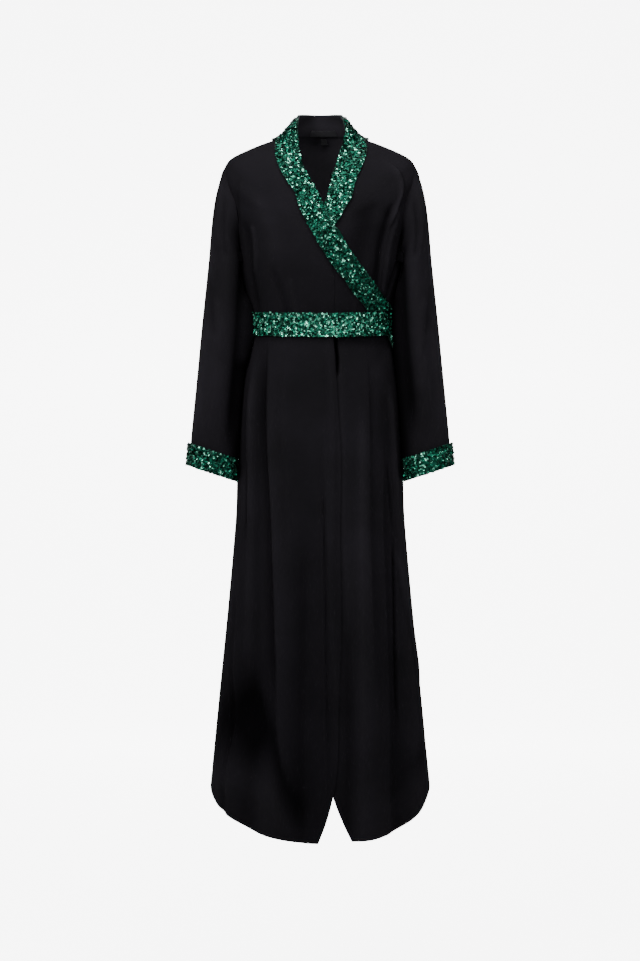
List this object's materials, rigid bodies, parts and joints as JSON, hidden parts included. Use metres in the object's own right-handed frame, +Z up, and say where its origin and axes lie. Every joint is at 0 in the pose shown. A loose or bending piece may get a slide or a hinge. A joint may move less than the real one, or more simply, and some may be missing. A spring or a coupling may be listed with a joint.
{
  "type": "maxi dress",
  "caption": "Long black wrap-front dress with long sleeves, worn and hollow, with green sequined neck band, belt and cuffs.",
  "frame": {"origin": "midway between the shoulders, level with the neck seam at the sides, where the dress hangs on its wearer", "axes": "+Z up, +X to the wearer's left, the front faces -Y"},
  "size_m": [0.5542, 0.3309, 1.5113],
  "materials": {
    "black_crepe": "soft satin-faced crepe, black",
    "green_sequins": "dense emerald sequins on dark green ground cloth",
    "black_label": "woven black label, bare"
  },
  "bodies": {
    "root": {"skirt_hip_back": "black_crepe", "skirt_knee_back": "black_crepe", "skirt_calf_back": "black_crepe", "skirt_hip_left": "black_crepe", "skirt_knee_left": "black_crepe", "skirt_calf_left": "black_crepe", "skirt_hip_right": "black_crepe", "skirt_knee_right": "black_crepe", "skirt_calf_right": "black_crepe", "bodice_back": "black_crepe", "bodice_left": "black_crepe", "bodice_right": "black_crepe", "wrap_panel": "black_crepe", "sleeve_right_cap": "black_crepe", "sleeve_right_elbow": "black_crepe", "sleeve_right_forearm": "black_crepe", "sleeve_left_cap": "black_crepe", "sleeve_left_elbow": "black_crepe", "sleeve_left_forearm": "black_crepe", "cuff_right": "green_sequins", "cuff_left": "green_sequins", "band_right": "green_sequins", "band_left": "green_sequins", "collar": "green_sequins", "collar_facing": "black_crepe", "belt_front": "green_sequins", "belt_back": "green_sequins", "belt_tail": "green_sequins", "neck_label": "black_label", "size_tab": "black_label"}
  },
  "joints": []
}
